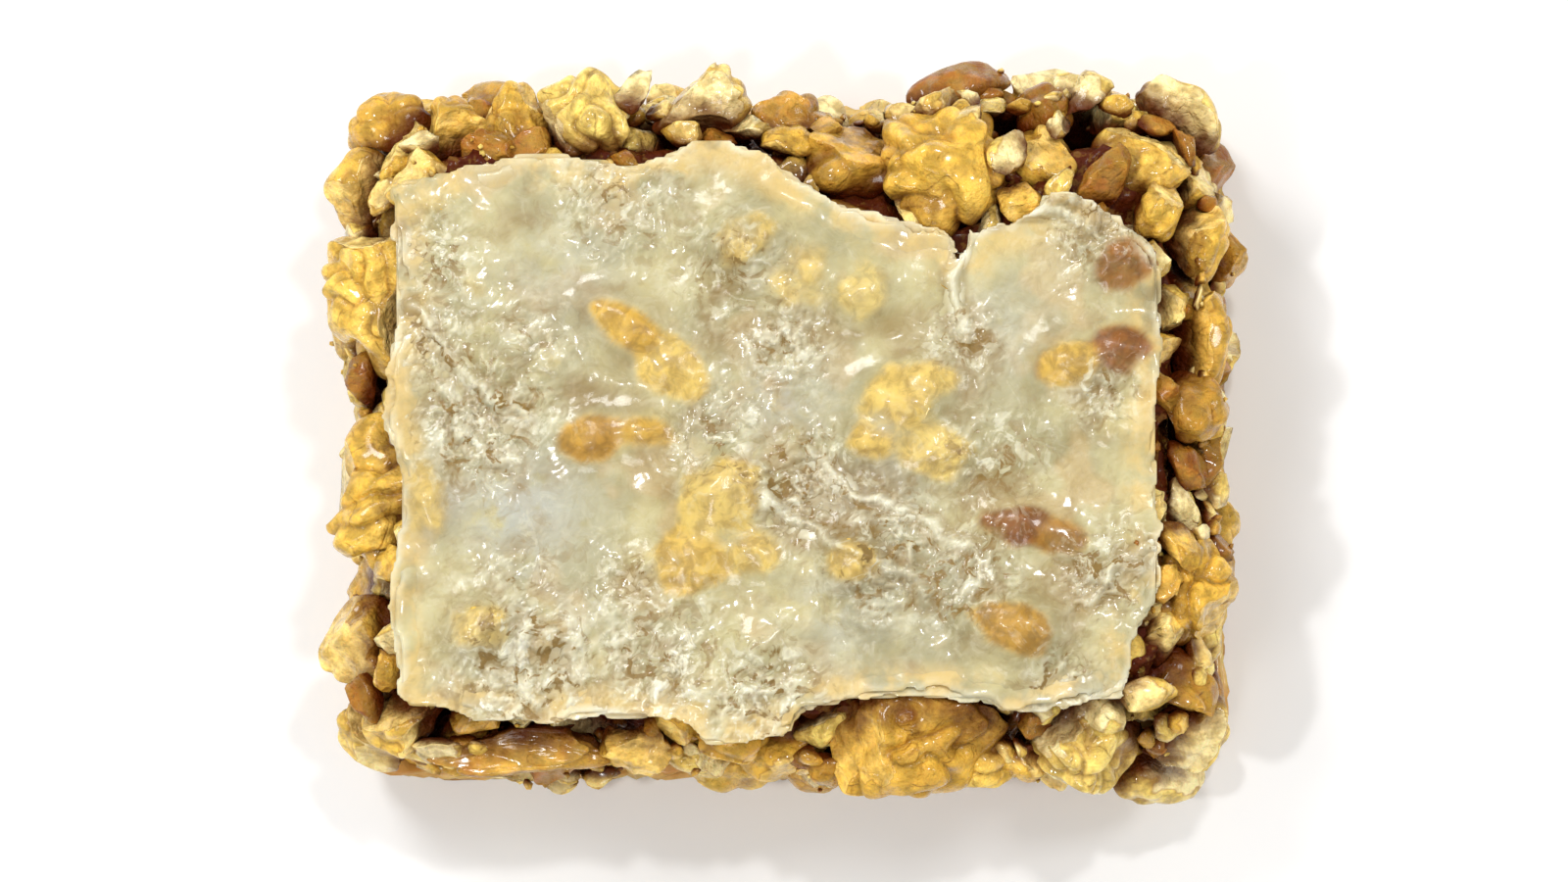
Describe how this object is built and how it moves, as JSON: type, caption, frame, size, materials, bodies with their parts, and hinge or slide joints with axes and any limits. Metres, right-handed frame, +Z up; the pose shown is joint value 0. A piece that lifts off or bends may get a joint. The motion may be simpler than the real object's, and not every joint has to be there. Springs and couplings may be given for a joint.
{
  "type": "baklava piece",
  "caption": "Cut rectangular piece of syrup-soaked baklava: thin base pastry, a thick layer of chopped walnuts open at all four sides, and a sheer crinkled top pastry.",
  "frame": {"origin": "centre of the footprint, on the surface that the piece rests on", "axes": "+Z up through the layers, +X along the long side, +Y towards the side that was farthest from the front edge of the tray"},
  "size_m": [0.057, 0.045, 0.0201],
  "materials": {
    "base_pastry": "satin",
    "chopped_walnut": "satin",
    "walnut": "satin",
    "top_pastry": "gloss"
  },
  "bodies": {
    "root": {"base_pastry": "base_pastry", "nut_filling": "chopped_walnut", "top_pastry": "top_pastry", "walnut_back": "walnut", "walnut_back_left": "walnut", "walnut_left_back": "walnut", "walnut_left_front": "walnut", "walnut_front": "walnut", "walnut_front_right": "walnut", "walnut_right": "walnut"}
  },
  "joints": []
}
